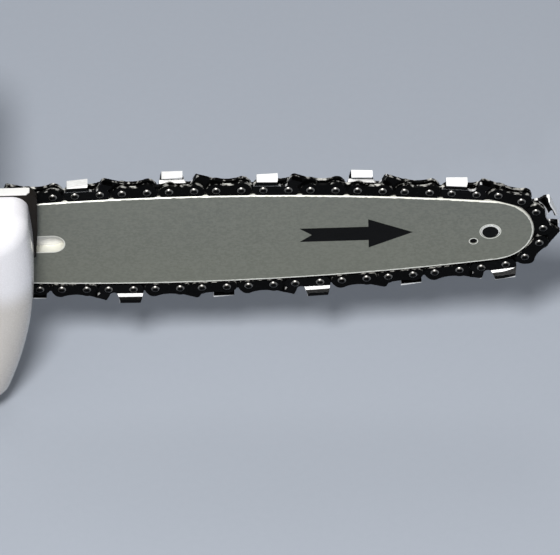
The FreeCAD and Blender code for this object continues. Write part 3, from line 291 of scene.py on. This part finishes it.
# painted light: the cover's white is a darker warm grey below z 0.066 m as painted reflection, and
# lighter above z 0.082 m as painted highlight
cover_white_painted_light = surface("white_cover_painted_light", (0.56, 0.526, 0.486), 0.24, spread=0.012, grain=2500,
                      bump=0.02, coat=0.3, painted_light_fade=(0.066, 0.082, (0.77, 0.755, 0.77)))
olive = surface("dark_olive_plastic", (0.0085, 0.0062, 0.004), 0.45, spread=0.2, grain=2500, bump=0.25,
                shine=0.2)
shell_olive = surface("handle_plastic", (0.036, 0.034, 0.026), 0.48, grain=3200, bump=0.45,
                      depth=0.00008, seam=0.00035)
pale_pad = surface("pale_pad_plastic", (0.72, 0.71, 0.68), 0.5, spread=0.05, grain=2500)
fastener = surface("fastener_steel", (0.5, 0.5, 0.51), 0.3, metallic=1.0, spread=0.15, spot=300,
                   grain=3000)
gear_metal = surface("hardened_steel", (0.33, 0.33, 0.35), 0.35, metallic=1.0, spread=0.15, spot=200,
                     grain=3000)
motor_metal = surface("motor_steel", (0.42, 0.42, 0.42), 0.4, metallic=1.0, spread=0.1, grain=3000)
grey = surface("grey_plastic", (0.16, 0.16, 0.17), 0.5, spread=0.1, grain=2500, bump=0.2)
tank = surface("tank_plastic", (0.66, 0.66, 0.56), 0.4, spread=0.06, grain=2000)
black = surface("black_plastic", (0.020, 0.020, 0.022), 0.42, spread=0.15, grain=2500, bump=0.35,
                depth=0.00008)
accent = surface("accent_plastic", (0.62, 0.10, 0.025), 0.35, spread=0.06, grain=2500)
aluminium = surface("anodised_aluminium", (0.52, 0.53, 0.55), 0.3, metallic=1.0, spread=0.04, spot=30,
                    stretch=(0.04, 1, 1))
foam = surface("grip_foam", (0.022, 0.022, 0.024), 0.9, spread=0.25, spot=500, grain=1400, bump=0.7,
               depth=0.0003)
rubber = surface("grip_rubber", (0.028, 0.028, 0.03), 0.7, spread=0.15, grain=1800, bump=0.5)
board = surface("circuit_board", (0.02, 0.16, 0.06), 0.4, spread=0.2, spot=300)
cell = surface("cell_sleeve", (0.08, 0.22, 0.33), 0.35, spread=0.08)
print_black = surface("printed_ink", (0.002, 0.002, 0.002), 0.5, spread=0.3, grain=2600, bump=0.05,
                      shine=0.1)
# painted shade: near-black discs set in the nose hole and the grease port where the holes' shade falls
hole_shade_black = surface("painted_hole_shade", (0.0015, 0.0015, 0.0015), 0.4, spread=0.5, spot=600, grain=1800,
                       shine=0.1)
# painted highlight: bright steel for the ring whose top shows as a crescent in the nose hole
hub_steel_painted_highlight = surface("hub_steel_painted_highlight", (0.82, 0.81, 0.76), 0.3, metallic=0.3, spread=0.1, spot=600, grain=1800)
amber = surface("oil_window", (0.42, 0.27, 0.07), 0.12, spread=0.12, spot=90, coat=0.6)
lamp_green = surface("charge_lamp", (0.05, 0.5, 0.12), 0.2, spread=0.06, coat=0.5)

dress(cover_white_painted_light, "sprocket_cover_shell")
dress(white, "head_housing_right", "head_housing_left")
dress(olive, "sprocket_cover_tray", "battery_dock", "clamp_collar")
dress(shell_olive, "handle_right", "handle_left")
dress(pale_pad, "bar_pad", "pole_bushing", "pole_slider")
dress(bar_enamel(), "guide_bar")
dress(link_steel(), "chain_drive_links", "chain_tie_straps")
dress(cutter_steel(), "chain_cutters_right", "chain_cutters_left")
dress(rivet_steel(), "chain_rivets")
dress(fastener, "neck_screws", "handle_screws", "bar_stud", "tension_screw", "clamp_bolt",
      "lever_pin", "trigger_pin", "trigger_spring", "tension_block")
dress(gear_metal, "nose_sprocket", "nose_bearing_race", "nose_bearing_rollers", "drive_sprocket",
      "drive_spindle", "output_gear", "motor_pinion", "motor_shaft", "spindle_bearings", "knob_nut")
dress(motor_metal, "motor_can", "motor_rotor")
dress(grey, "motor_end_cap", "cooling_fan", "gearcase_plate", "oil_pump", "power_switch")
dress(tank, "oil_tank")
dress(black, "cover_knob", "oil_cap", "clamp_lever", "trigger", "battery_tub", "battery_lid")
dress(accent, "lock_off_button", "battery_latch")
dress(aluminium, "upper_pole", "lower_pole")
dress(foam, "foam_grip")
dress(rubber, "grip_overmold", "head_feet")
dress(board, "control_board")
dress(cell, "battery_cells")


# ---------------------------------------------------------------- small detail pieces
def settle(name, mesh_maker, material, body):
    """Makes an object of a bmesh, gives it a finish, and lets it ride on a CAD body."""
    mesh = bpy.data.meshes.new(name)
    mesh_maker.normal_update()
    mesh_maker.to_mesh(mesh)
    mesh_maker.free()
    piece = bpy.data.objects.new(name, mesh)
    bpy.context.collection.objects.link(piece)
    mesh.materials.append(material)
    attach(piece, body)
    return piece


def lathe(name, material, body, centre, axis, profile, steps=64, sharp=35):
    """Turns a profile of (radius, distance along the axis) points round an axis through centre."""
    made = bmesh.new()
    turned = Vector(axis).to_track_quat("Z", "Y").to_matrix()
    rings = []
    for radius, along in profile:
        if radius == 0:
            rings.append([made.verts.new(Vector(centre) + turned @ Vector((0, 0, along)))])
            continue
        ring = []
        for step in range(steps):
            turn = 2 * math.pi * step / steps
            point = Vector((radius * math.cos(turn), radius * math.sin(turn), along))
            ring.append(made.verts.new(Vector(centre) + turned @ point))
        rings.append(ring)
    for first, second in zip(rings, rings[1:]):
        for step in range(steps):
            after = (step + 1) % steps
            if len(first) == 1:
                corners = [first[0], second[step], second[after]]
            elif len(second) == 1:
                corners = [first[step], first[after], second[0]]
            else:
                corners = [first[step], first[after], second[after], second[step]]
            made.faces.new(corners)
    bmesh.ops.recalc_face_normals(made, faces=made.faces)
    for face in made.faces:
        face.smooth = True
    piece = settle(name, made, material, body)
    piece.data.set_sharp_from_angle(angle=math.radians(sharp))
    return piece


def plate(name, material, body, outline, low, high, edge=0.0, axes="xz"):
    """A flat plate: an outline in two axes, from low to high along the third, with rounded edges."""
    made = bmesh.new()
    order = {"xz": (0, 2, 1), "xy": (0, 1, 2), "yz": (1, 2, 0)}[axes]

    def corner(point, level):
        spot = Vector()
        spot[order[0]], spot[order[1]], spot[order[2]] = *point, level
        return made.verts.new(spot)

    bottom = [corner(point, low) for point in outline]
    top = [corner(point, high) for point in outline]
    made.faces.new(bottom)
    made.faces.new(reversed(top))
    for index in range(len(outline)):
        after = (index + 1) % len(outline)
        made.faces.new([bottom[index], top[index], top[after], bottom[after]])
    bmesh.ops.recalc_face_normals(made, faces=made.faces)
    piece = settle(name, made, material, body)
    if edge:
        bevel = piece.modifiers.new("edges", "BEVEL")
        bevel.width = edge
        bevel.segments = 3
        bevel.limit_method = "ANGLE"
        bevel.angle_limit = math.radians(50)
    return piece


def pill(centre, length, width, steps=10):
    """An outline with round ends, longer along its first axis."""
    half, radius = (length - width) / 2, width / 2
    points = []
    for side in (1, -1):
        for step in range(steps + 1):
            turn = -math.pi / 2 + math.pi * step / steps
            points.append((centre[0] + side * (half + radius * math.cos(turn)),
                           centre[1] + side * radius * math.sin(turn)))
    return points


def cup_screw(name, body, centre, axis, radius):
    """A domed screw head with a round recess, its rim standing along the axis."""
    shape = [(0, 0.35), (0.45, 0.35), (0.5, 0.95), (0.7, 1), (0.93, 0.75), (1, 0.3), (1, 0)]
    rise = radius * 0.55
    profile = [(radius * across, rise * up) for across, up in shape]
    lathe(name, fastener, body, centre, axis, profile, steps=36)


def make_bar_details():
    """Near-black discs as painted shade in the nose hole and the grease port, the nose disc set low so
    the steel hub ring shows a painted highlight crescent above it, and the arrow that shows which way
    the chain runs.
    """
    nose = (FACE_X + NOSE_AHEAD * MM, BAR_Y, AXIS_Z)
    # painted highlight: the nose disc sits 0.55 mm low so a bright crescent of the steel ring shows at
    # the top of the hole
    highlight_crescent_drop = 0.00055
    nose_lowered_for_highlight = (nose[0], nose[1], nose[2] - highlight_crescent_drop)
    grease = (FACE_X + GREASE[0] * MM, BAR_Y, AXIS_Z + GREASE[1] * MM)
    ring = [(0, 0.0018), (0.0036, 0.00188), (0.0038, 0.00188), (0.00396, 0.0017), (0.00396, 0.0010)]
    nose_shade_profile = [(0, 0.00192), (0.0029, 0.00194), (0.0032, 0.00194), (0.0033, 0.0019), (0.0033, 0.0012)]
    port_shade_profile = [(0, 0.0014), (0.0008, 0.00145), (0.0012, 0.0017), (0.00146, 0.0015), (0.00148, 0.0008)]
    arrow_mm = [(107, -3), (135, -3), (135, -7.5), (153, 1), (135, 9.5), (135, 5), (107, 5), (112, 1)]
    arrow = [(FACE_X + u * MM, AXIS_Z + v * MM) for u, v in arrow_mm]
    ink_out, ink_in = BAR_SKIN + 0.00003, BAR_SKIN - 0.0001
    for side, face in ((-1, "near"), (1, "far")):
        facing = (0, side, 0)
        lathe(f"nose_hub_highlight_ring_{face}", hub_steel_painted_highlight, "bar", nose, facing, ring)
        lathe(f"nose_hole_shade_disc_{face}", hole_shade_black, "bar", nose_lowered_for_highlight, facing, nose_shade_profile)
        lathe(f"grease_port_shade_disc_{face}", hole_shade_black, "bar", grease, facing, port_shade_profile,
              steps=32)
        plate(f"chain_direction_mark_{face}", print_black, "bar", arrow,
              BAR_Y + side * ink_out, BAR_Y + side * ink_in)


def make_head_details():
    """A pale strip on the cover's top edge as a painted highlight, the knob's cap, the oil window, the
    housing's screws and the neck's band.
    """
    # painted highlight: a pale strip where light catches the top edge
    pale_strip_outline = [(0.4235, -0.0327), (0.5285, -0.0327), (0.5298, -0.0314), (0.5298, -0.0290),
            (0.4235, -0.0290)]
    plate("cover_top_highlight_strip", pale_pad, "cover", pale_strip_outline, 0.1141, 0.1150, 0.0003, axes="xy")
    knob_face = (0.498, -0.0598, AXIS_Z)
    cap = [(0, 0.0), (0.004, 0.0), (0.0047, 0.0004), (0.005, 0.0012), (0.005, 0.004)]
    lathe("knob_centre_cap", olive, "cover_knob", knob_face, (0, 1, 0), cap)
    window_middle = (0.0625, 0.386)
    window = [(x, z) for z, x in pill(window_middle, 0.044, 0.009)]
    plate("oil_level_window", amber, "head", window, -0.0204, -0.0196, 0.0002)
    border = [(x, z) for z, x in pill(window_middle, 0.048, 0.013)]
    plate("oil_level_frame", olive, "head", border, -0.0202, -0.0194, 0.0002)
    screw_y, screw_r = -0.0199, 0.0033
    for number, (x, z) in enumerate([(0.375, 0.019), (0.375, 0.1), (0.405, 0.1), (0.405, 0.019)]):
        cup_screw(f"housing_screw_{number}", "head", (x, screw_y, z), (0, -1, 0), screw_r)
    band = [(0.0142, 0.0), (0.021, 0.0), (0.0229, 0.0016), (0.0233, 0.0016), (0.0233, 0.0052),
            (0.0228, 0.0056)]
    lathe("neck_band", rubber, "head", (0.3, 0, AXIS_Z), (1, 0, 0), band)


def make_pole_details():
    """The grip's end rings and ribbed sleeve, and the length marks on the inner tube."""
    sleeve_front = SLEEVE_BACK + SLEEVE_LENGTH
    cuff = [(SLEEVE_BORE, 0.006), (0.0172, 0.0058), (0.0205, 0.002), (0.02125, 0.0004),
            (0.02125, -0.0032), (0.0209, -0.0036)]
    for name, x, facing in (("grip_ring_front", sleeve_front, 1), ("grip_ring_back", SLEEVE_BACK, -1)):
        lathe(name, rubber, "handle", (x, 0, AXIS_Z), (facing, 0, 0), cuff)
    rib = [(0.0203, 0.0006), (0.0209, 0.002), (0.021, 0.004), (0.021, 0.008), (0.0209, 0.010),
           (0.0203, 0.0114)]
    rib_count = 25
    ridges = [(SLEEVE_BORE, 0.0)]
    for number in range(rib_count):
        start = SLEEVE_LENGTH * number / rib_count
        ridges += [(radius, start + along) for radius, along in rib]
    ridges.append((SLEEVE_BORE, SLEEVE_LENGTH))
    sleeve = lathe("foam_grip_sleeve", foam, "handle", (SLEEVE_BACK, 0, AXIS_Z), (1, 0, 0),
                   ridges, steps=72, sharp=60)
    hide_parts("foam_grip")
    mark = [(0.0138, 0.0), (0.01403, 0.0), (0.01403, 0.0015), (0.0138, 0.0015)]
    first_mark, mark_step = -0.4, 0.1
    for number in range(6):
        lathe(f"pole_length_mark_{number}", print_black, "head",
              (first_mark + mark_step * number, 0, AXIS_Z), (1, 0, 0), mark)


def make_battery_details():
    """The charge panel with its lamps and button, and the ribs on the battery's sides."""
    panel = pill((-0.69, LAMP_Z), 0.05, 0.013)
    plate("charge_panel", olive, "battery", panel, BATTERY_SIDE - 0.0006,
          BATTERY_SIDE + 0.0005, 0.0002)
    panel_y = BATTERY_SIDE - 0.0005
    lamp = [(0, 0.0007), (0.001, 0.0006), (0.0015, 0.0003), (0.0016, 0.0)]
    first_lamp, lamp_step = -0.706, 0.007
    for number in range(4):
        lathe(f"charge_lamp_{number}", lamp_green, "battery",
              (first_lamp + lamp_step * number, panel_y, LAMP_Z), (0, -1, 0), lamp, steps=28)
    button = [(0, 0.0006), (0.0022, 0.0007), (0.003, 0.0011), (0.0036, 0.0009), (0.004, 0.0)]
    lathe("charge_button", rubber, "battery", (-0.675, panel_y, LAMP_Z), (0, -1, 0),
          button, steps=40)
    first_rib, rib_step, rib_middle_z = -0.735, 0.0035, 0.019
    for side, face in ((-1, "near"), (1, "far")):
        for number in range(5):
            middle = (rib_middle_z, first_rib + rib_step * number)
            rib = [(x, z) for z, x in pill(middle, 0.026, 0.0016, 4)]
            plate(f"battery_rib_{face}_{number}", black, "battery", rib,
                  side * 0.0368, side * 0.0377, 0.0003)


make_bar_details()
make_head_details()
make_pole_details()
make_battery_details()


# ---------------------------------------------------------------- floor, light and camera
def make_floor():
    half = 9
    corners = [(-half, -half, 0), (half, -half, 0), (half, half, 0), (-half, half, 0)]
    mesh = bpy.data.meshes.new("studio_floor")
    mesh.from_pydata(corners, [], [(0, 1, 2, 3)])
    floor = bpy.data.objects.new("studio_floor", mesh)
    bpy.context.collection.objects.link(floor)
    paper = surface("studio_paper", (0.345, 0.372, 0.418), 0.9, spread=0.01, spot=3, grain=300,
                    bump=0.02)
    mesh.materials.append(paper)


def direction(azimuth, elevation):
    """The unit vector from the object towards a viewer; azimuth 0 looks at the bar's near face."""
    turn, lift = math.radians(azimuth), math.radians(elevation)
    return Vector((math.sin(turn) * math.cos(lift), -math.cos(turn) * math.cos(lift), math.sin(lift)))


def area_light(name, target, azimuth, elevation, distance, size, power):
    lamp = bpy.data.lights.new(name, "AREA")
    lamp.shape = "DISK"
    lamp.size = size
    lamp.energy = power
    light = bpy.data.objects.new(name, lamp)
    bpy.context.collection.objects.link(light)
    away = direction(azimuth, elevation)
    light.location = target + away * distance
    light.rotation_euler = away.to_track_quat("Z", "Y").to_euler()


def make_camera(target, azimuth, elevation, roll, distance, width):
    """A camera at a distance from the target that sees a strip of this width there."""
    data = bpy.data.cameras.new("camera")
    data.sensor_width = 36
    data.lens = data.sensor_width * distance / width
    data.clip_start, data.clip_end = 0.01, 50
    camera = bpy.data.objects.new("camera", data)
    bpy.context.collection.objects.link(camera)
    away = direction(azimuth, elevation)
    place = Matrix.Translation(target + away * distance)
    tilt = away.to_track_quat("Z", "Y").to_matrix().to_4x4()
    camera.matrix_world = place @ tilt @ Matrix.Rotation(math.radians(roll), 4, "Z")
    bpy.context.scene.camera = camera


make_floor()
aim = Vector((FACE_X + 0.0986, BAR_Y - BAR_SKIN, AXIS_Z - 0.0243))
make_camera(aim, azimuth=0, elevation=48.2, roll=-1.68, distance=4.0, width=0.2283)
area_light("key", aim, azimuth=-14, elevation=59, distance=1.6, size=0.36, power=27)
area_light("glint", aim, azimuth=-6, elevation=24, distance=4, size=0.12, power=12)
area_light("rim", aim, azimuth=178, elevation=49, distance=4, size=1.4, power=14)

world = bpy.data.worlds.new("studio")
world.use_nodes = True
sky = world.node_tree.nodes["Background"]
sky.inputs["Color"].default_value = (0.9, 0.94, 1.0, 1)
sky.inputs["Strength"].default_value = 0.3
bpy.context.scene.world = world
bpy.context.scene.view_settings.view_transform = "Standard"
